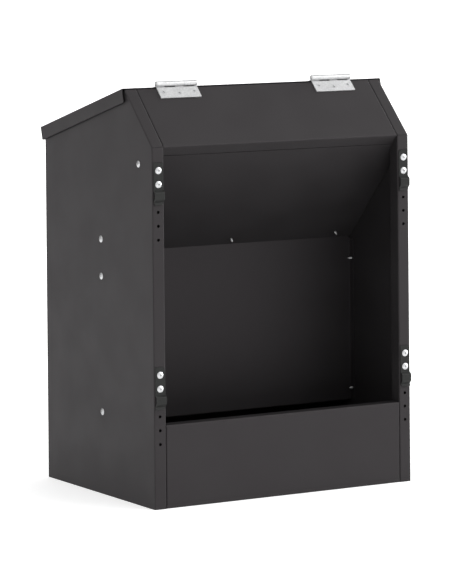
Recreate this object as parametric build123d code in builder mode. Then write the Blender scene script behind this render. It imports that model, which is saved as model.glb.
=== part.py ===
from build123d import *
import os
from math import cos, hypot, radians, sin, tan

# Gravity hopper box folded from sheet steel, in millimetres.
# +Z is up, the open face looks along -Y, and the origin is the middle of the underside.

# ---------- driving dimensions: the box ----------
WIDTH = 550.0
DEPTH = 416.0
FRONT_HEIGHT = 651.0  # top of the upright part of the open face
RIDGE_SETBACK = 102.0  # the face above slopes back at 45 degrees to the ridge
LID_SLOPE = 15.0  # degrees below level, falling away behind the ridge
SHEET = 1.2
BEND = 2.2  # outer bend radius of every fold
FIT = 0.3  # gap between sheets that sit side by side
FRONT = -DEPTH / 2
RIDGE_HEIGHT = FRONT_HEIGHT + RIDGE_SETBACK

# ---------- front frame: the side panels' folded edges ----------
FLANGE = 24.0  # width of the frame round the opening
RETURN = 26.0  # how far the frame's inner wall runs back
SEAM = 0.6
OPENING_HALF = WIDTH / 2 - FLANGE
INFILL_HALF = OPENING_HALF - 0.5  # panels that sit between the two frame sides
INNER_HALF = WIDTH / 2 - SHEET - FIT  # panels that sit between the two side panels

# ---------- header, chute, baffle and trough ----------
CHUTE_SEAM = 24.0  # where the chute sheet starts, down the slope from the open face
SEAM_LAP = 15.0  # how far the header's return runs on above the chute
BAFFLE_SETBACK = 204.0
BAFFLE_HEAD = 445.0  # where the chute meets the baffle
BAFFLE_FOOT = 128.0
BAFFLE_FOOT_RETURN = 12.0
BAFFLE_TOP_RETURN = 25.0  # flange that lies above the chute
TROUGH_LIP = 150.5
LIP_RETURN = 10.0
CHUTE_FLANGE = 35.0
EDGE_RETURN = 20.0
FLOOR_RETURN = 15.0
SHEET_END = 1.5  # play between a sheet's cut end and the next sheet

# ---------- lid ----------
LID_OVERHANG = 5.0  # outer skirt face beyond the side panels
LID_BACK = 426.0  # rear top corner, measured from the open face
SKIRT = 25.5
LID_REST = 2.0  # gap between the rim and the lid's underside
LID_START = 0.8  # rear of the ridge line, so that the lid clears the hinge leaf
RIM_FLANGE = 12.0

# ---------- hinges ----------
HINGE_INSET = 108.0  # hinge centre from the side panel
KNUCKLES = (17.5, 22.5, 17.5, 22.5, 5.0)  # odd ones on the body leaf, even ones on the lid leaf
KNUCKLE_GAP = 0.15
KNUCKLE_RADIUS = 5.0
LEAF = 2.0
LEAF_REACH = 29.0  # leaf edge beyond the ridge
LEAF_NOTCH = 5.8
LEAF_CORNER = 1.2
PIN_RADIUS = 2.9
PIN_CLEARANCE = 0.05
PIN_END = 1.0
PIN_CHAMFER = 0.6
LEAF_SCREWS = ((-32.0, 14.5), (0.0, 18.5), (32.0, 14.5))  # across, and down from the ridge

# ---------- hooks and the hole rows that carry them ----------
HOLE_PITCH = 25.0
HOLE_ROWS = (609.3, 241.8)  # height of the first hole of each row
HOLES_PER_ROW = 6
HOLE_INSET = 12.0
HOLE_RADIUS = 2.8
HOOK_WIDTH = 20.0
HOOK_SHEET = 1.5
HOOK_ABOVE = 14.0
HOOK_RISE = 5.8  # inside depth of the loop that takes the rail
HOOK_MOUTH = 0.6  # gap between the strap and the frame, just above the toe
HOOK_TOE = 2.4  # how far the toe flares out again
HOOK_BENDS = (2.5, 1.5, 1.0, 1.6)  # radii of the strap's inner face, from the loop down
LOOP_START = 11.0  # below the strap's second hole
LOOP_STEPS = (4.0, 15.0, 20.5, 26.5)  # below the loop's start: full depth, its end, mouth, toe
HOOK_TOP_CORNER = 3.0
HOOK_TOE_CORNER = 6.0

# ---------- fasteners ----------
HEAD_RADIUS = 6.3
HEAD_HEIGHT = 2.2
HEAD_RIM = 0.3
HEAD_RECESS = (4.2, 1.1, 1.5)  # length, width and depth of the cross
BOLT_RADIUS = 2.4
BOLT_LENGTH = 9.5
BOLT_POINT = 0.5
BOLT_PLAY = 0.2
NUT_FLATS = 8.0
NUT_HEIGHT = 4.0
NUT_EDGE = 0.7
NUT_PLAY = 0.05  # also that of a self-tapping screw in the sheet that it bites
TAPPER_RADIUS = 2.1
TAPPER_LENGTH = 10.5
TAPPER_POINT = 4.0
SINK_RADIUS = 4.4
SINK_DEPTH = 1.9
SINK_PLAY = 0.15
SINK_RECESS = (4.6, 1.2, 0.9)
POINT_SHARE = 0.8  # radius of a bolt's blunt end, of its shank
TIP_SHARE = 0.25  # the same for a self-tapping screw's point
RECESS_TAPER = 8
DRILL = 8.0  # cutter length, past the sheet on both sides
SIDE_SCREWS = ((51.0, 618.5), (196.5, 471.0), (196.5, 402.5), (196.5, 152.0))  # back, height
CHUTE_SCREW_SPREAD = 232.0
CHUTE_SCREW_BACK = 16.5  # up the slope from the baffle

# ---------- directions ----------
SLOPE = Vector(0, sin(radians(45)), sin(radians(45)))  # up the sloping face
SLOPE_IN = Vector(0, SLOPE.Z, -SLOPE.Y)
LID_DOWN = Vector(0, cos(radians(LID_SLOPE)), -sin(radians(LID_SLOPE)))
LID_OUT = Vector(0, -LID_DOWN.Z, LID_DOWN.Y)
CHUTE_DOWN = Vector(0, BAFFLE_SETBACK, BAFFLE_HEAD - FRONT_HEIGHT).normalized()
CHUTE_UP = Vector(0, -CHUTE_DOWN.Z, CHUTE_DOWN.Y)
RIGHT = Vector(1, 0, 0)
UP = Vector(0, 0, 1)
BACK = Vector(0, 1, 0)
RIDGE = Vector(0, FRONT + RIDGE_SETBACK, RIDGE_HEIGHT)
RIM_DROP = SHEET + LID_REST
CHUTE_LENGTH = BAFFLE_SETBACK / CHUTE_DOWN.Y


def rim_height(back):
    """Height of the side panels' top edge, a distance back from the open face."""
    fall = (back - RIDGE_SETBACK) * tan(radians(LID_SLOPE))
    return RIDGE_HEIGHT - fall - RIM_DROP / LID_DOWN.Y


def cross_section(x):
    """Plane across the box: its x runs back from the open face and its y runs up."""
    return Plane(origin=(x, FRONT, 0), x_dir=BACK, z_dir=RIGHT)


def fold_profile(plane, points, side=Side.LEFT, sheet=SHEET):
    """Outline of a folded sheet whose outer face follows the points."""
    with BuildSketch(plane) as profile:
        with BuildLine():
            FilletPolyline(*points, radius=BEND)
            offset(amount=sheet, side=side)
        make_face()
    return profile.sketch


def fold_edge(start, run, inwards, along, *depths, mitres=()):
    """Folds an edge of the panel being built: over by the first depth, then back by the second.

    The fold keeps to the side that every mitre plane faces.
    """
    plane = Plane(origin=start, x_dir=inwards, z_dir=run)
    if (plane.y_dir - along).length > 1e-6:
        raise ValueError("the fold's directions aren't square")
    margin = 2 * BEND
    with BuildSketch(plane) as corner:
        with Locations((SHEET / 2, margin / 2)):
            Rectangle(SHEET, margin)
    extrude(corner.sketch, amount=run.length, mode=Mode.SUBTRACT)
    corners = [(0, 2 * margin), (0, 0), (depths[0], 0)]
    if len(depths) > 1:
        corners.append((depths[0], depths[1]))
    fold = extrude(fold_profile(plane, corners), amount=run.length, mode=Mode.PRIVATE)
    for mitre in mitres:
        fold = split(fold, bisect_by=mitre, mode=Mode.PRIVATE)
    add(fold)


def cross_recess(height, size):
    """Cuts a tapered cross into the head of the screw being built, from its top down."""
    long, short, depth = size
    with BuildSketch(Plane.XY.offset(height)) as cross:
        Rectangle(long, short)
        Rectangle(short, long)
    extrude(cross.sketch, amount=-depth, taper=RECESS_TAPER, mode=Mode.SUBTRACT)


def screw(radius, length, point, end_share):
    """Low domed screw along -Z, with its head on Z=0 and a cross recess."""
    with BuildPart() as made:
        with BuildSketch(Plane.XZ) as half:
            with BuildLine():
                top = TangentArc((0, HEAD_HEIGHT), (HEAD_RADIUS, HEAD_RIM), tangent=(1, 0))
                Polyline(
                    top @ 1,
                    (HEAD_RADIUS, 0),
                    (radius, 0),
                    (radius, point - length),
                    (radius * end_share, -length),
                    (0, -length),
                    top @ 0,
                )
            make_face()
        revolve(half.sketch, axis=Axis.Z)
        cross_recess(HEAD_HEIGHT, HEAD_RECESS)
    return made.part


def sunk_screw(length):
    """Countersunk screw along -Z, with its flat head level with Z=0."""
    with BuildPart() as made:
        with BuildSketch(Plane.XZ) as half:
            with BuildLine():
                Polyline(
                    (0, 0),
                    (SINK_RADIUS, 0),
                    (BOLT_RADIUS, -SINK_DEPTH),
                    (BOLT_RADIUS, BOLT_POINT - length),
                    (BOLT_RADIUS * POINT_SHARE, -length),
                    (0, -length),
                    close=True,
                )
            make_face()
        revolve(half.sketch, axis=Axis.Z)
        cross_recess(0, SINK_RECESS)
    return made.part


def nut():
    """Hexagon nut along -Z, with its bearing face on Z=0 and its outer corners eased."""
    with BuildPart() as made:
        with BuildSketch() as hexagon:
            RegularPolygon(NUT_FLATS / 2, 6, major_radius=False)
        extrude(hexagon.sketch, amount=-NUT_HEIGHT)
        with BuildSketch(Plane.XZ) as half:
            corner = NUT_FLATS / 2 + NUT_EDGE
            Polygon(
                (0, 0),
                (corner, 0),
                (corner, NUT_EDGE - NUT_HEIGHT),
                (NUT_FLATS / 2, -NUT_HEIGHT),
                (0, -NUT_HEIGHT),
                align=None,
            )
        revolve(half.sketch, axis=Axis.Z, mode=Mode.INTERSECT)
        with Locations((0, 0, -NUT_HEIGHT / 2)):
            Hole(BOLT_RADIUS + NUT_PLAY, depth=NUT_HEIGHT)
    return made.part


def drill(radius, places):
    """Round holes along the Z direction of each place."""
    with Locations(*places):
        Cylinder(radius, DRILL, mode=Mode.SUBTRACT)


def side_places(hand, places):
    """Planes on the outside of the left (-1) or right (1) side panel."""
    return [
        Plane(origin=(hand * WIDTH / 2, FRONT + back, height), z_dir=RIGHT * hand)
        for back, height in places
    ]


# ---------- side panels ----------


rim_start = RIDGE - SLOPE * (RIM_DROP / sin(radians(45 + LID_SLOPE)))
slope_length = (rim_start - Vector(0, FRONT, FRONT_HEIGHT)).length
rim_length = (DEPTH - EDGE_RETURN - 2 * BEND - RIDGE_SETBACK) / LID_DOWN.Y
hole_heights = [first - step * HOLE_PITCH for first in HOLE_ROWS for step in range(HOLES_PER_ROW)]

MITRE_TURN = -45 / 2  # degrees; the seam halves the turn between upright and slope

with BuildPart() as left_side_panel:
    with BuildSketch(cross_section(-WIDTH / 2)):
        Polygon(
            (0, 0),
            (0, FRONT_HEIGHT),
            (rim_start.Y - FRONT, rim_start.Z),
            (DEPTH, rim_height(DEPTH)),
            (DEPTH, 0),
            align=None,
        )
    extrude(amount=SHEET)
    outer_face = RIGHT * (-WIDTH / 2)
    frame_foot = outer_face + BACK * FRONT
    frame_corner = frame_foot + UP * FRONT_HEIGHT
    frame_top = outer_face + rim_start
    corner_mitre = Plane(origin=frame_corner, z_dir=UP + SLOPE)
    top_mitre = Plane(origin=frame_top, z_dir=SLOPE + LID_DOWN)
    fold_edge(frame_top, LID_DOWN * rim_length, RIGHT, -LID_OUT, RIM_FLANGE, mitres=[top_mitre])
    fold_edge(
        frame_corner,
        SLOPE * slope_length,
        RIGHT,
        SLOPE_IN,
        FLANGE,
        RETURN,
        mitres=[corner_mitre, -top_mitre],
    )
    fold_edge(frame_foot, UP * FRONT_HEIGHT, RIGHT, BACK, FLANGE, RETURN, mitres=[-corner_mitre])
    # seam between the upright and the sloping frame, and the inner wall's foot above the floor
    with BuildSketch(cross_section(-WIDTH / 2 + 1.5 * BEND)) as mitre:
        with Locations(Location((0, FRONT_HEIGHT), MITRE_TURN)):
            Rectangle(2.5 * RETURN, SEAM)
    extrude(mitre.sketch, amount=FLANGE, mode=Mode.SUBTRACT)
    with Locations((-WIDTH / 2 + FLANGE, FRONT + RETURN / 2 + 2 * SHEET, 0)):
        Box(4 * SHEET, RETURN, 2 * (SHEET + SEAM), mode=Mode.SUBTRACT)
    hole_x = -WIDTH / 2 + HOLE_INSET
    drill(HOLE_RADIUS, [Plane(origin=(hole_x, FRONT, z), z_dir=-BACK) for z in hole_heights])
    drill(TAPPER_RADIUS + BOLT_PLAY, side_places(-1, SIDE_SCREWS))

with BuildPart() as right_side_panel:
    mirror(left_side_panel.part, about=Plane.YZ)

# ---------- back panel ----------
rear_rim = rim_height(DEPTH)
with BuildPart() as back_panel:
    rise = EDGE_RETURN * tan(radians(LID_SLOPE))
    rim_fold = fold_profile(
        cross_section(-INNER_HALF),
        [(DEPTH - EDGE_RETURN, rear_rim + rise), (DEPTH, rear_rim), (DEPTH, 0)],
        Side.RIGHT,
    )
    extrude(rim_fold, amount=INNER_HALF)
    fold_edge(
        Vector(-INNER_HALF, FRONT + DEPTH, EDGE_RETURN),
        UP * (rear_rim - EDGE_RETURN - 3 * BEND),
        -BACK,
        RIGHT,
        EDGE_RETURN,
    )
    mirror(about=Plane.YZ)

# ---------- trough pan: front lip, floor and rear upturn in one sheet ----------
with BuildPart() as trough_pan:
    rear = DEPTH - SHEET - FIT
    pan_fold = fold_profile(
        cross_section(-INFILL_HALF),
        [
            (RETURN, TROUGH_LIP - LIP_RETURN),
            (RETURN, TROUGH_LIP),
            (0, TROUGH_LIP),
            (0, 0),
            (rear, 0),
            (rear, EDGE_RETURN),
        ],
    )
    extrude(pan_fold, amount=INFILL_HALF)
    fold_edge(
        Vector(-INFILL_HALF, FRONT, TROUGH_LIP - 1.5 * BEND),
        -UP * (TROUGH_LIP - 4 * BEND),
        BACK,
        RIGHT,
        EDGE_RETURN,
    )
    wing_front = SHEET + BEND
    wing_length = rear - wing_front - BEND
    with Locations((-INNER_HALF, FRONT + wing_front, 0)):
        Box(INNER_HALF - INFILL_HALF, wing_length, SHEET, align=(Align.MIN, Align.MIN, Align.MIN))
    fold_edge(
        Vector(-INNER_HALF, FRONT + wing_front, 0), BACK * wing_length, UP, RIGHT, FLOOR_RETURN
    )
    mirror(about=Plane.YZ)

# ---------- header: sloping face and a return that starts the chute ----------
with BuildPart() as header_panel:
    header_return = CHUTE_SEAM + SEAM_LAP
    header_fold = fold_profile(
        cross_section(-INFILL_HALF),
        [
            (rim_start.Y - FRONT, rim_start.Z),
            (0, FRONT_HEIGHT),
            (header_return * CHUTE_DOWN.Y, FRONT_HEIGHT + header_return * CHUTE_DOWN.Z),
        ],
    )
    extrude(header_fold, amount=INFILL_HALF)
    fold_edge(
        Vector(-INFILL_HALF, rim_start.Y, rim_start.Z),
        -SLOPE * (slope_length - 2 * BEND),
        SLOPE_IN,
        RIGHT,
        EDGE_RETURN,
    )
    mirror(about=Plane.YZ)

# ---------- chute: sloping hopper floor that hangs between the side panels ----------
chute_top = Plane(origin=(0, FRONT, FRONT_HEIGHT), x_dir=RIGHT, z_dir=CHUTE_UP)
chute_screw_places = [
    chute_top * Location((x, CHUTE_LENGTH - CHUTE_SCREW_BACK, 0))
    for x in (-CHUTE_SCREW_SPREAD, 0, CHUTE_SCREW_SPREAD)
]
with BuildPart() as chute_panel:
    shoulder = (RETURN + 2) / CHUTE_DOWN.Y  # behind the frame's inner walls the chute is full width
    chute_end = CHUTE_LENGTH - SHEET_END
    neck_half = INFILL_HALF - SHEET_END
    with BuildSketch(chute_top):
        Polygon(
            (0, CHUTE_SEAM),
            (-neck_half, CHUTE_SEAM),
            (-neck_half, shoulder),
            (-INNER_HALF, shoulder),
            (-INNER_HALF, chute_end),
            (0, chute_end),
            align=None,
        )
    extrude(amount=-SHEET)
    fold_edge(
        chute_top.from_local_coords(Vector(-INNER_HALF, shoulder, -SHEET)),
        CHUTE_DOWN * (chute_end - shoulder),
        CHUTE_UP,
        RIGHT,
        CHUTE_FLANGE,
    )
    drill(TAPPER_RADIUS + NUT_PLAY, side_places(-1, SIDE_SCREWS[:2]))
    mirror(about=Plane.YZ)
    drill(TAPPER_RADIUS + NUT_PLAY, chute_screw_places)

# ---------- baffle: upright plate with a gap for the contents under its foot ----------
with BuildPart() as baffle_panel:
    plate_fold = fold_profile(
        cross_section(-INNER_HALF),
        [
            (BAFFLE_SETBACK + BAFFLE_FOOT_RETURN, BAFFLE_FOOT),
            (BAFFLE_SETBACK, BAFFLE_FOOT),
            (BAFFLE_SETBACK, BAFFLE_HEAD),
        ],
        Side.RIGHT,
    )
    extrude(plate_fold, amount=INNER_HALF)
    top_half = INNER_HALF - 1.5 * BEND
    top_fold = fold_profile(
        cross_section(-top_half),
        [
            (BAFFLE_SETBACK, BAFFLE_HEAD - 4 * BEND),
            (BAFFLE_SETBACK, BAFFLE_HEAD),
            (
                BAFFLE_SETBACK - BAFFLE_TOP_RETURN * CHUTE_DOWN.Y,
                BAFFLE_HEAD - BAFFLE_TOP_RETURN * CHUTE_DOWN.Z,
            ),
        ],
        Side.RIGHT,
    )
    with Locations((0, FRONT + BAFFLE_SETBACK, BAFFLE_HEAD)):
        Box(WIDTH, 4 * SHEET, 4 * BEND, mode=Mode.SUBTRACT)
    extrude(top_fold, amount=top_half)
    fold_edge(
        Vector(-INNER_HALF, FRONT + BAFFLE_SETBACK + SHEET, BAFFLE_FOOT + 2 * BEND),
        UP * (BAFFLE_HEAD - BAFFLE_FOOT - 5 * BEND),
        -BACK,
        RIGHT,
        FLOOR_RETURN,
    )
    drill(TAPPER_RADIUS + NUT_PLAY, side_places(-1, SIDE_SCREWS[2:]))
    mirror(about=Plane.YZ)
    drill(TAPPER_RADIUS + BOLT_PLAY, chute_screw_places)

# ---------- lid ----------
LID_HALF = WIDTH / 2 + LID_OVERHANG
LID_LENGTH = (LID_BACK - RIDGE_SETBACK) / LID_DOWN.Y
HINGE_CENTRES = (HINGE_INSET - WIDTH / 2, WIDTH / 2 - HINGE_INSET)
lid_top = Plane(origin=RIDGE, x_dir=RIGHT, z_dir=LID_OUT)
slope_top = Plane(origin=RIDGE, x_dir=-RIGHT, z_dir=-SLOPE_IN)


def leaf_places(face):
    """Where the leaf screws stand on a face whose y runs away from the ridge."""
    direction = face.x_dir.X
    return [
        face * Location((direction * centre + across, down, 0))
        for centre in HINGE_CENTRES
        for across, down in LEAF_SCREWS
    ]


with BuildPart() as lid:
    lid_section = Plane(origin=RIDGE - RIGHT * LID_HALF, x_dir=LID_DOWN, z_dir=RIGHT)
    lid_fold = fold_profile(
        lid_section, [(LID_START, 0), (LID_LENGTH, 0), (LID_LENGTH, -SKIRT)], Side.RIGHT
    )
    extrude(lid_fold, amount=LID_HALF)
    side_end = LID_LENGTH - BEND
    fold_edge(
        lid_section.from_local_coords(Vector(side_end, 0, 0)),
        -LID_DOWN * (side_end - LID_START),
        -LID_OUT,
        RIGHT,
        SKIRT,
    )
    mirror(about=Plane.YZ)
    drill(BOLT_RADIUS + BOLT_PLAY, leaf_places(lid_top))

with header_panel:
    drill(BOLT_RADIUS + BOLT_PLAY, leaf_places(slope_top))

# ---------- hinges ----------
HINGE_LENGTH = sum(KNUCKLES)
half_angle = radians((180 - 45 - LID_SLOPE) / 2)
foot_offset = KNUCKLE_RADIUS / tan(half_angle)  # from the ridge to the leaf's tangent point
PIN_AXIS = RIDGE - LID_DOWN * foot_offset + LID_OUT * KNUCKLE_RADIUS


def hinge_leaf(centre, reach_dir, face_side, own):
    """Leaf rolled round the pin. `own` is 0 if the first knuckle is its own, else 1."""
    hinge_end = PIN_AXIS + RIGHT * (centre - HINGE_LENGTH / 2)
    section = Plane(origin=hinge_end, x_dir=reach_dir, z_dir=RIGHT)
    plate_middle = face_side * (KNUCKLE_RADIUS - LEAF / 2)
    reach = foot_offset + LEAF_REACH
    with BuildPart() as leaf:
        with BuildSketch(section) as profile:
            Circle(KNUCKLE_RADIUS)
            with Locations((reach / 2, plate_middle)):
                Rectangle(reach, LEAF)
            Circle(PIN_RADIUS + PIN_CLEARANCE, mode=Mode.SUBTRACT)
        extrude(profile.sketch, amount=HINGE_LENGTH)
        start = 0
        for number, length in enumerate(KNUCKLES):
            if number % 2 != own:
                first = start - (KNUCKLE_GAP if number else 1)
                last = start + length + (KNUCKLE_GAP if number < len(KNUCKLES) - 1 else 1)
                notch_middle = section * Location((0, 0, (first + last) / 2))
                with Locations(notch_middle):
                    Box(2 * LEAF_NOTCH, 4 * KNUCKLE_RADIUS, last - first, mode=Mode.SUBTRACT)
            start += length
        outer = section.x_dir.cross(RIGHT) * face_side
        corners = leaf.edges().filter_by(lambda e: abs(e.length - LEAF) < 0.01)
        corners = corners.sort_by(Axis(section.origin, reach_dir))[-2:]
        fillet(corners, radius=LEAF_CORNER)
        top_skin = PIN_AXIS + RIGHT * centre - outer * (KNUCKLE_RADIUS - LEAF)
        for across, down in LEAF_SCREWS:
            spot = top_skin + RIGHT * across + reach_dir * (foot_offset + down)
            with Locations(Plane(origin=spot, z_dir=outer)):
                CounterSinkHole(BOLT_RADIUS + SINK_PLAY, SINK_RADIUS + SINK_PLAY, depth=2 * LEAF)
    return leaf.part


leaves = {}
for hand, centre in zip(("left", "right"), HINGE_CENTRES):
    leaves[f"{hand}_hinge_body_leaf"] = hinge_leaf(centre, -SLOPE, 1, 0)
    leaves[f"{hand}_hinge_lid_leaf"] = hinge_leaf(centre, LID_DOWN, -1, 1)
    with BuildPart() as pin:
        pin_start = PIN_AXIS + RIGHT * (centre - HINGE_LENGTH / 2 - PIN_END)
        with BuildSketch(Plane(origin=pin_start, z_dir=RIGHT)) as round_bar:
            Circle(PIN_RADIUS)
        extrude(round_bar.sketch, amount=HINGE_LENGTH + 2 * PIN_END)
        chamfer(pin.edges().filter_by(GeomType.CIRCLE), length=PIN_CHAMFER)
    leaves[f"{hand}_hinge_pin"] = pin.part

leaf_screw = sunk_screw(SHEET + LEAF + NUT_HEIGHT + 1)
with BuildPart() as hinge_body_screws:
    with Locations(*[place * Location((0, 0, LEAF)) for place in leaf_places(slope_top)]):
        add(leaf_screw)
with BuildPart() as hinge_lid_screws:
    with Locations(*[place * Location((0, 0, LEAF)) for place in leaf_places(lid_top)]):
        add(leaf_screw)
hex_nut = nut()
with BuildPart() as hinge_body_nuts:
    with Locations(*[place * Location((0, 0, -SHEET)) for place in leaf_places(slope_top)]):
        add(hex_nut)
with BuildPart() as hinge_lid_nuts:
    with Locations(*[place * Location((0, 0, -SHEET)) for place in leaf_places(lid_top)]):
        add(hex_nut)


# ---------- hooks ----------
def hook(x, first_hole):
    """Strap with two bolt holes and a loop that closes on the frame around a rail."""
    with BuildPart() as strap:
        side_view = Plane(origin=(x - HOOK_WIDTH / 2, FRONT, first_hole), x_dir=-BACK, z_dir=-RIGHT)
        loop_top = -HOLE_PITCH - LOOP_START
        full_start, full_end, mouth, toe = [loop_top - step for step in LOOP_STEPS]
        with BuildSketch(side_view) as profile:
            with BuildLine():
                FilletPolyline(
                    (0, HOOK_ABOVE),
                    (0, loop_top),
                    (HOOK_RISE, full_start),
                    (HOOK_RISE, full_end),
                    (HOOK_MOUTH, mouth),
                    (HOOK_TOE, toe),
                    radius=HOOK_BENDS,
                )
                offset(amount=HOOK_SHEET, side=Side.LEFT)
            make_face()
        extrude(profile.sketch, amount=-HOOK_WIDTH)
        first_place = Plane(origin=(x, FRONT, first_hole), x_dir=RIGHT, z_dir=-BACK)
        with BuildSketch(first_place) as outline:
            with Locations((0, (HOOK_ABOVE + toe) / 2)):
                Rectangle(HOOK_WIDTH, HOOK_ABOVE - toe)
            corners = outline.vertices().sort_by(Axis.Z)
            fillet(corners[:2], radius=HOOK_TOE_CORNER)
            fillet(corners[2:], radius=HOOK_TOP_CORNER)
        extrude(outline.sketch, amount=4 * HOOK_RISE, both=True, mode=Mode.INTERSECT)
        drill(HOLE_RADIUS, [first_place, first_place * Location((0, -HOLE_PITCH, 0))])
    return strap.part


hook_x = WIDTH / 2 - HOLE_INSET
hooks = {
    f"{hand}_{level}_hook": hook(x, first)
    for hand, x in (("left", -hook_x), ("right", hook_x))
    for level, first in zip(("upper", "lower"), HOLE_ROWS)
}
hook_bolt_places = [
    Plane(origin=(x, FRONT, first - step * HOLE_PITCH), x_dir=RIGHT, z_dir=-BACK)
    for x in (-hook_x, hook_x)
    for first in HOLE_ROWS
    for step in (0, 1)
]
truss_bolt = screw(BOLT_RADIUS, BOLT_LENGTH, BOLT_POINT, POINT_SHARE)
with BuildPart() as hook_bolts:
    with Locations(*[place.offset(HOOK_SHEET) for place in hook_bolt_places]):
        add(truss_bolt)
with BuildPart() as hook_nuts:
    with Locations(*[place.offset(-SHEET) for place in hook_bolt_places]):
        add(hex_nut)

# ---------- self-tapping screws ----------
tapper = screw(TAPPER_RADIUS, TAPPER_LENGTH, TAPPER_POINT, TIP_SHARE)
with BuildPart() as side_screws:
    with Locations(*side_places(-1, SIDE_SCREWS), *side_places(1, SIDE_SCREWS)):
        add(tapper)
with BuildPart() as chute_screws:
    with Locations(*[place * Location((0, 0, SHEET)) for place in chute_screw_places]):
        add(tapper)

# ---------- label and write ----------
pieces = {
    "left_side_panel": left_side_panel.part,
    "right_side_panel": right_side_panel.part,
    "back_panel": back_panel.part,
    "trough_pan": trough_pan.part,
    "header_panel": header_panel.part,
    "chute_panel": chute_panel.part,
    "baffle_panel": baffle_panel.part,
    "lid": lid.part,
    "hinge_body_screws": hinge_body_screws.part,
    "hinge_body_nuts": hinge_body_nuts.part,
    "hinge_lid_screws": hinge_lid_screws.part,
    "hinge_lid_nuts": hinge_lid_nuts.part,
    "hook_bolts": hook_bolts.part,
    "hook_nuts": hook_nuts.part,
    "side_screws": side_screws.part,
    "chute_screws": chute_screws.part,
    **leaves,
    **hooks,
}
os.makedirs("parts", exist_ok=True)
for name, piece in pieces.items():
    piece.label = name
    export_step(piece, f"parts/{name}.step")
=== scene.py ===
import math

import bmesh
import bpy
from mathutils import Matrix, Vector


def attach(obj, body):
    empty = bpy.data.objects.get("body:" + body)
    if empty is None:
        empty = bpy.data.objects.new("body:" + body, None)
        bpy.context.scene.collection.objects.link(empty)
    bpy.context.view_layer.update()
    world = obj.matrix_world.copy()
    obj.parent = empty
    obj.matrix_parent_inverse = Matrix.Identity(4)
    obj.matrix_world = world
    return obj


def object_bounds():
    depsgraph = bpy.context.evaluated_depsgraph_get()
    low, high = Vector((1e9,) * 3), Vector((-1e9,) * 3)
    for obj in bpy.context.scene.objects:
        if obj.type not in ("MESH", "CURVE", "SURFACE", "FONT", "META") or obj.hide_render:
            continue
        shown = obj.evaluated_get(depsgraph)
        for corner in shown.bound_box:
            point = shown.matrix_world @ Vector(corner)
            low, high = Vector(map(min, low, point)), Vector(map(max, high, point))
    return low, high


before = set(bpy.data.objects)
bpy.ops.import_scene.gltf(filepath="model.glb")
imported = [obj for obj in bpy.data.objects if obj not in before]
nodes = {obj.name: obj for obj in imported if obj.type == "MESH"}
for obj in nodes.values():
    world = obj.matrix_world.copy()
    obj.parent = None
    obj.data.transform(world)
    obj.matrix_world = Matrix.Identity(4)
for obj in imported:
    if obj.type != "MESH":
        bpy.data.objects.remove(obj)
cad_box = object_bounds()
MM = 0.001
WHITE = (1, 1, 1, 1)

# ---------- node trees ----------
BEVEL_SAMPLES = 4
CORNER_SAMPLES = 8
SEES_LITTLE, SEES_MUCH = 0.35, 0.9  # share of open surroundings, deep in a recess and out of it


class Tree:
    """Short calls that add and link nodes in one node tree."""

    def __init__(self, tree):
        self.tree = tree

    def add(self, kind):
        return self.tree.nodes.new("ShaderNode" + kind)

    def feed(self, target, value):
        """Links a socket, or sets a plain value."""
        if isinstance(value, bpy.types.NodeSocket):
            self.tree.links.new(value, target)
        else:
            target.default_value = value

    def math(self, operation, first, second=0.0):
        node = self.add("Math")
        node.operation = operation
        self.feed(node.inputs[0], first)
        self.feed(node.inputs[1], second)
        return node.outputs[0]

    def dot(self, first, second):
        node = self.add("VectorMath")
        node.operation = "DOT_PRODUCT"
        self.feed(node.inputs[0], first)
        self.feed(node.inputs[1], second)
        return node.outputs["Value"]

    def span(self, value, low, high, start=0.0, end=1.0):
        """Maps low..high smoothly onto start..end and holds the ends."""
        node = self.add("MapRange")
        node.interpolation_type = "SMOOTHSTEP"
        self.feed(node.inputs["Value"], value)
        node.inputs["From Min"].default_value = low
        node.inputs["From Max"].default_value = high
        node.inputs["To Min"].default_value = start
        node.inputs["To Max"].default_value = end
        return node.outputs["Result"]

    def blend(self, share, first, second):
        """Colour between two colours."""
        node = self.add("Mix")
        node.data_type = "RGBA"
        share_input, first_input, second_input = node.inputs[0], node.inputs[6], node.inputs[7]
        self.feed(share_input, share)
        self.feed(first_input, first)
        self.feed(second_input, second)
        return node.outputs[2]


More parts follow.
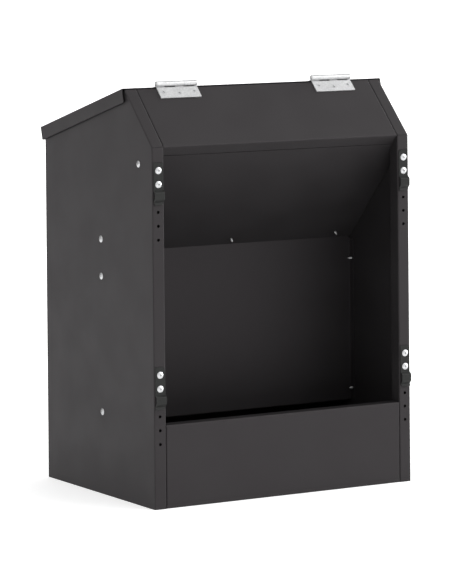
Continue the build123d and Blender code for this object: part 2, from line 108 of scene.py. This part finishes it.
class Finish(Tree):
    """A new material with one Principled surface, and short calls that add nodes in front of it."""

    def __init__(self, name, metallic=0.0, specular=0.5, edge=0.4):
        """The sharp edges are shaded as if rounded by edge, in millimetres."""
        self.material = bpy.data.materials.new(name)
        self.material.use_nodes = True
        super().__init__(self.material.node_tree)
        self.surface = self.tree.nodes["Principled BSDF"]
        self.surface.inputs["Metallic"].default_value = metallic
        self.surface.inputs["Specular IOR Level"].default_value = specular
        self.place = self.add("TexCoord").outputs["Object"]
        rounded = self.add("Bevel")
        rounded.samples = BEVEL_SAMPLES
        rounded.inputs["Radius"].default_value = edge * MM
        self.rounded = rounded.outputs["Normal"]

    def noise(self, size, detail=2.0, stretch=(1, 1, 1)):
        """Noise from 0 to 1 whose blobs are about size across, in millimetres."""
        squeeze = self.add("Mapping")
        squeeze.inputs["Scale"].default_value = [1 / (size * MM * s) for s in stretch]
        self.feed(squeeze.inputs["Vector"], self.place)
        node = self.add("TexNoise")
        node.inputs["Scale"].default_value = 1.0
        node.inputs["Detail"].default_value = detail
        self.feed(node.inputs["Vector"], squeeze.outputs["Vector"])
        return node.outputs["Fac"]

    def edges(self, start, end):
        """Mask of the sharp edges, from how far the rounded normal turns away from the real one."""
        plain = self.add("NewGeometry").outputs["Normal"]
        return self.span(self.math("SUBTRACT", 1.0, self.dot(self.rounded, plain)), start, end)

    def corners(self, reach):
        """Mask of recesses and inner corners, from how much they see within reach millimetres."""
        node = self.add("AmbientOcclusion")
        node.samples = CORNER_SAMPLES
        node.inputs["Distance"].default_value = reach * MM
        return self.span(node.outputs["AO"], SEES_LITTLE, SEES_MUCH, start=1.0, end=0.0)

    def cover(self, base, colour, mask, strength):
        """Base colour with another over it where the mask is, at most at the given strength."""
        return self.blend(self.math("MULTIPLY", mask, strength), base, colour)

    def bump(self, *layers):
        """Bump from (height, depth in millimetres) layers over the rounded edges."""
        normal = self.rounded
        for height, depth in layers:
            node = self.add("Bump")
            node.inputs["Distance"].default_value = depth * MM
            self.feed(node.inputs["Height"], height)
            self.feed(node.inputs["Normal"], normal)
            normal = node.outputs["Normal"]
        self.feed(self.surface.inputs["Normal"], normal)

    def finish(self, colour, roughness):
        self.feed(self.surface.inputs["Base Color"], colour)
        self.feed(self.surface.inputs["Roughness"], roughness)
        return self.material


def grey(level, green=0.0, blue=0.0):
    """A near-grey colour; green and blue are shares by which those channels differ from red."""
    return (level, level * (1 + green), level * (1 + blue), 1.0)


# ---------- materials ----------
def powder_coat():
    """Satin charcoal powder coat: orange peel, fine speckle, slight mottling and rubbed edges."""
    coat = Finish("powder_coat", specular=0.25)
    coat.surface.inputs["Specular Tint"].default_value = grey(1.0, green=-0.09, blue=-0.045)
    darker = grey(0.0125, green=-0.09, blue=-0.04)
    paler = grey(0.0150, green=-0.07, blue=-0.03)
    speck = grey(0.024)
    bared = grey(0.06)
    mottle = coat.noise(70, detail=3)
    patches = coat.noise(9, detail=3)
    peel = coat.noise(2.4, detail=1)
    speckle = coat.noise(0.7, detail=2)
    rubbed = coat.math("MULTIPLY", coat.edges(0.02, 0.25), coat.span(patches, 0.42, 0.62))
    base = coat.blend(coat.span(mottle, 0.3, 0.7), darker, paler)
    base = coat.blend(coat.span(speckle, 0.35, 0.75, start=0.0, end=0.35), base, speck)
    base = coat.cover(base, bared, mask=rubbed, strength=0.45)
    satin = coat.span(mottle, 0.25, 0.75, start=0.50, end=0.58)
    smoothed = coat.math("MULTIPLY", rubbed, 0.12)
    coat.bump((peel, 0.035), (speckle, 0.012))
    return coat.finish(base, coat.math("SUBTRACT", satin, smoothed))


def hook_coat():
    """Smoother black coat of the pressed hooks, worn on the edges, with painted shade darkening and
    dulling the recesses in and around the loop.
    """
    # specular of the open coat, and the lower specular painted into the shaded recesses
    unshaded_gloss, shaded_gloss = 0.21, 0.05
    coat = Finish("hook_coat", specular=unshaded_gloss)
    darker = grey(0.0095, green=0.05)
    paler = grey(0.012, green=0.06)
    bared = grey(0.09)
    # near-black colour of the painted shade
    painted_shade_colour = grey(0.004)
    cloud = coat.noise(14, detail=3)
    grain = coat.noise(0.5, detail=2)
    worn = coat.math("MULTIPLY", coat.edges(0.02, 0.2), coat.span(cloud, 0.4, 0.65))
    # painted shade: recesses within 7 mm darkened and made less glossy, as if in shadow
    painted_shade = coat.corners(7)
    base = coat.blend(coat.span(cloud, 0.3, 0.7), darker, paler)
    base = coat.cover(base, bared, mask=worn, strength=0.5)
    base = coat.cover(base, painted_shade_colour, mask=painted_shade, strength=0.8)
    gloss = coat.span(painted_shade, 0.0, 1.0, start=unshaded_gloss, end=shaded_gloss)
    satin = coat.span(cloud, 0.25, 0.75, start=0.40, end=0.50)
    coat.feed(coat.surface.inputs["Specular IOR Level"], gloss)
    coat.bump((grain, 0.01))
    return coat.finish(base, satin)


def hinge_zinc():
    """Bright zinc plate over rolled steel: brushed along the hinge, with faint crystals."""
    plate = Finish("hinge_zinc", metallic=1.0, edge=0.3)
    darker = grey(0.51, green=0.005, blue=0.01)
    paler = grey(0.60, green=0.003, blue=0.01)
    polished = grey(0.75)
    tarnish = grey(0.25)
    brushed = plate.noise(0.35, detail=3, stretch=(30, 1, 1))
    crystals = plate.noise(3.5, detail=4)
    dull = plate.noise(16, detail=3)
    base = plate.blend(plate.span(crystals, 0.3, 0.7), darker, paler)
    base = plate.cover(base, polished, mask=plate.edges(0.02, 0.3), strength=0.4)
    base = plate.cover(base, tarnish, mask=plate.corners(1.0), strength=0.2)
    hazy = plate.span(dull, 0.3, 0.7, start=0.40, end=0.54)
    streaks = plate.span(brushed, 0.3, 0.7, start=-0.05, end=0.05)
    plate.bump((brushed, 0.006), (crystals, 0.006))
    return plate.finish(base, plate.math("ADD", hazy, streaks))


def fastener_zinc():
    """Bright plating of the screws, a little cooler in hue, with painted shade in the recesses."""
    plate = Finish("fastener_zinc", metallic=1.0, edge=0.2)
    darker = grey(0.49, green=0.01, blue=0.02)
    paler = grey(0.57, green=0.01, blue=0.02)
    polished = grey(0.65)
    # near-black colour of the painted shade in the recesses
    painted_shade = grey(0.06)
    cloud = plate.noise(1.8, detail=3)
    fine = plate.noise(0.25, detail=2)
    base = plate.blend(plate.span(cloud, 0.3, 0.7), darker, paler)
    base = plate.cover(base, polished, mask=plate.edges(0.02, 0.3), strength=0.3)
    # painted shade: recesses within 1.2 mm darkened, as if in shadow
    base = plate.cover(base, painted_shade, mask=plate.corners(1.2), strength=0.5)
    plate.bump((fine, 0.004))
    return plate.finish(base, plate.span(cloud, 0.25, 0.75, start=0.36, end=0.48))


FINISHES = {
    "body_coat": powder_coat(),
    "hook_coat": hook_coat(),
    "hinge_zinc": hinge_zinc(),
    "fastener_zinc": fastener_zinc(),
}
for node in nodes.values():
    for place in node.material_slots:
        place.material = FINISHES[place.material.name]


# ---------- threads on the ends of the screws ----------
STEPS_PER_TURN = 20
HALF_FOOT = 0.42  # half the width of the ridge's foot, in pitches
FADE_OUT_TURNS = 0.5
SAME_TIP = 6 * MM  # points nearer than this belong to one screw
TIP_RING = 0.02 * MM
SUNK = 0.12 * MM  # how far the ridge's foot sits inside the shank
SAME_POINT = 0.001 * MM

# shank and end are radii, and flare is how fast the radius grows from the end to the shank
BOLT_THREAD = {
    "shank": 2.4 * MM,
    "end": 1.92 * MM,
    "flare": 0.96,
    "depth": 0.12 * MM,
    "pitch": 0.8 * MM,
    "run": 2.2 * MM,
}
SHORT_THREAD = {**BOLT_THREAD, "run": 0.9 * MM}
TAPPER_THREAD = {
    "shank": 2.1 * MM,
    "end": 0.53 * MM,
    "flare": 0.39,
    "depth": 0.35 * MM,
    "pitch": 1.4 * MM,
    "run": 7.2 * MM,
}

HEADER_FALL = 45  # slopes of the panels that carry screws, in degrees from level
LID_FALL = 15
CHUTE_FALL = 45.28


def direction(lift):
    """Unit vector in the YZ plane, lift degrees up from the rear."""
    return Vector((0, math.cos(math.radians(lift)), math.sin(math.radians(lift))))


RIGHT = Vector((1, 0, 0))
FORWARD = direction(180)


def screw_tips(node, axis):
    """Middle of each screw's end, for the screws on the axis's side whose heads point along it."""
    heights = [axis.dot(v.co) for v in node.data.vertices if axis.dot(v.co) > 0]
    low = min(heights) + TIP_RING
    groups = []
    for vertex in node.data.vertices:
        if not 0 < axis.dot(vertex.co) < low:
            continue
        near = [group for group in groups if (group[0] - vertex.co).length < SAME_TIP]
        if near:
            near[0].append(vertex.co.copy())
        else:
            groups.append([vertex.co.copy()])
    return [sum(group, Vector()) / len(group) for group in groups]


def thread_coil(shape, tip, axis, thread):
    """Adds one helical ridge to the mesh, from the tip up the shank."""
    across = axis.orthogonal().normalized()
    beside = axis.cross(across)
    half_foot = thread["pitch"] * HALF_FOOT
    steps = int(thread["run"] / thread["pitch"] * STEPS_PER_TURN)
    last = None
    for step in range(steps + 1):
        turn = math.tau * step / STEPS_PER_TURN
        climb = half_foot + thread["pitch"] * step / STEPS_PER_TURN
        fade_in = step / STEPS_PER_TURN
        fade_out = (steps - step) / STEPS_PER_TURN / FADE_OUT_TURNS
        foot = min(thread["shank"], thread["end"] + climb * thread["flare"]) - SUNK
        crest = foot + (thread["depth"] + SUNK) * min(1, fade_in, fade_out)
        out = across * math.cos(turn) + beside * math.sin(turn)
        ring = [
            shape.verts.new(tip + axis * (climb - half_foot) + out * foot),
            shape.verts.new(tip + axis * climb + out * crest),
            shape.verts.new(tip + axis * (climb + half_foot) + out * foot),
        ]
        if last:
            for low, high in ((0, 1), (1, 2), (2, 0)):
                shape.faces.new((last[low], last[high], ring[high], ring[low]))
        last = ring


def thread_piece(node_name, body, axes, thread):
    """One piece with the threads of every screw of a node."""
    shape = bmesh.new()
    for axis in axes:
        for tip in screw_tips(nodes[node_name], axis):
            thread_coil(shape, tip, axis, thread)
    bmesh.ops.remove_doubles(shape, verts=shape.verts, dist=SAME_POINT)
    bmesh.ops.recalc_face_normals(shape, faces=shape.faces)
    mesh = bpy.data.meshes.new(node_name + "_threads")
    shape.to_mesh(mesh)
    shape.free()
    piece = bpy.data.objects.new(mesh.name, mesh)
    bpy.context.scene.collection.objects.link(piece)
    mesh.materials.append(FINISHES["fastener_zinc"])
    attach(piece, body)


thread_piece("side_screws", "box", (RIGHT, -RIGHT), TAPPER_THREAD)
thread_piece("hook_bolts", "box", (FORWARD,), BOLT_THREAD)
thread_piece("chute_screws", "box", (direction(90 - CHUTE_FALL),), TAPPER_THREAD)
thread_piece("hinge_body_screws", "box", (direction(90 + HEADER_FALL),), SHORT_THREAD)
thread_piece("hinge_lid_screws", "lid", (direction(90 - LID_FALL),), SHORT_THREAD)


# ---------- camera ----------
CAMERA_AZIMUTH = -30.3723  # degrees from the front towards the right
CAMERA_ELEVATION = 0.6389
CAMERA_ROLL = -0.5124
CAMERA_DISTANCE = 6.0023
CAMERA_AIM = Vector((-0.11715, -0.208, 1.01874))
CAMERA_LENS = 203.862
LENS_SHIFT = -0.60041
NEAR_CLIP = 0.1
FAR_CLIP = 100
SAME_PLACE = 0.001


def outward(azimuth, elevation):
    """Unit vector, azimuth degrees from the front towards the right and elevation degrees up."""
    turn, lift = math.radians(azimuth), math.radians(elevation)
    return Vector((math.sin(turn) * math.cos(lift), -math.cos(turn) * math.cos(lift), math.sin(lift)))


def photo_camera():
    """Camera in front to the left, almost level, its lens shifted down to keep uprights parallel."""
    away = outward(CAMERA_AZIMUTH, CAMERA_ELEVATION)
    data = bpy.data.cameras.new("photo_camera")
    data.lens = CAMERA_LENS
    data.clip_start, data.clip_end = NEAR_CLIP, FAR_CLIP
    camera = bpy.data.objects.new("photo_camera", data)
    bpy.context.scene.collection.objects.link(camera)
    camera.rotation_mode = "QUATERNION"
    roll = Matrix.Rotation(math.radians(CAMERA_ROLL), 3, "Z")
    turn = (-away).to_track_quat("-Z", "Y").to_matrix() @ roll
    camera.rotation_quaternion = turn.to_quaternion()
    camera.location = CAMERA_AIM + away * CAMERA_DISTANCE
    bpy.context.scene.camera = camera
    shift_at_first_place(camera, LENS_SHIFT)


def shift_at_first_place(camera, shift):
    """Shifts the lens only while the camera stands at its first place."""
    driver = camera.data.driver_add("shift_y").driver
    place = driver.variables.new()
    place.name = "place"
    place.type = "TRANSFORMS"
    place.targets[0].id = camera
    place.targets[0].transform_type = "LOC_X"
    driver.expression = f"{shift} if abs(place - {camera.location.x:.6f}) < {SAME_PLACE} else 0"


# ---------- light ----------
class Sky(Tree):
    """World that looks plain white and lights the scene from soft round lamps."""

    def __init__(self, world):
        world.use_nodes = True
        super().__init__(world.node_tree)
        self.background = self.tree.nodes["Background"]
        self.way = self.add("TexCoord").outputs["Generated"]
        self.glow = 0.0

    def lamp(self, azimuth, elevation, strength, core=10, rim=35):
        """Adds a lamp that is full up to core degrees from its middle and fades out to the rim."""
        nearness = self.dot(self.way, outward(azimuth, elevation))
        inside, outside = math.cos(math.radians(core)), math.cos(math.radians(rim))
        light = self.span(nearness, outside, inside, start=0.0, end=strength)
        self.glow = self.math("ADD", self.glow, light)

    def switch_on(self):
        """Shows plain white to the camera, and the lamps to everything else."""
        seen = self.add("LightPath").outputs["Is Camera Ray"]
        hidden = self.math("SUBTRACT", 1.0, seen)
        level = self.math("ADD", self.math("MULTIPLY", self.glow, hidden), seen)
        self.feed(self.background.inputs["Color"], WHITE)
        self.feed(self.background.inputs["Strength"], level)


def studio():
    """Strong light from the right, weaker light from the left, and a little from all round."""
    bpy.context.scene.world = bpy.data.worlds.new("studio")
    sky = Sky(bpy.context.scene.world)
    sky.lamp(azimuth=-90, elevation=38, strength=3.0)
    sky.lamp(azimuth=-45, elevation=38, strength=0.63)
    sky.lamp(azimuth=0, elevation=8, strength=1.25)
    sky.lamp(azimuth=45, elevation=38, strength=2.55)
    sky.lamp(azimuth=90, elevation=8, strength=11.4)
    sky.lamp(azimuth=135, elevation=8, strength=2.55)
    sky.lamp(azimuth=180, elevation=38, strength=0.7)
    sky.lamp(azimuth=0, elevation=90, strength=0.45, core=15, rim=50)
    sky.switch_on()


# ---------- floor ----------
FLOOR_GLOW = 0.3  # keeps the shadow round the foot as pale as the rest of the floor
FLOOR_COLOUR = grey(0.96)
FLOOR_ROUGHNESS = 0.8
FLOOR_REACH = 30
FLOOR_GAP = 0.2 * MM


def pale_floor():
    """White floor under the object, lit a little from below like a light table."""
    shape = bmesh.new()
    bmesh.ops.create_grid(shape, x_segments=2, y_segments=2, size=FLOOR_REACH)
    mesh = bpy.data.meshes.new("floor")
    shape.to_mesh(mesh)
    shape.free()
    floor = bpy.data.objects.new("floor", mesh)
    floor.location.z = cad_box[0].z - FLOOR_GAP
    bpy.context.scene.collection.objects.link(floor)
    pale = Finish("pale_floor", specular=0.1)
    pale.surface.inputs["Emission Color"].default_value = WHITE
    pale.surface.inputs["Emission Strength"].default_value = FLOOR_GLOW
    mesh.materials.append(pale.finish(FLOOR_COLOUR, FLOOR_ROUGHNESS))


photo_camera()
studio()
pale_floor()
bpy.context.scene.view_settings.view_transform = "Standard"
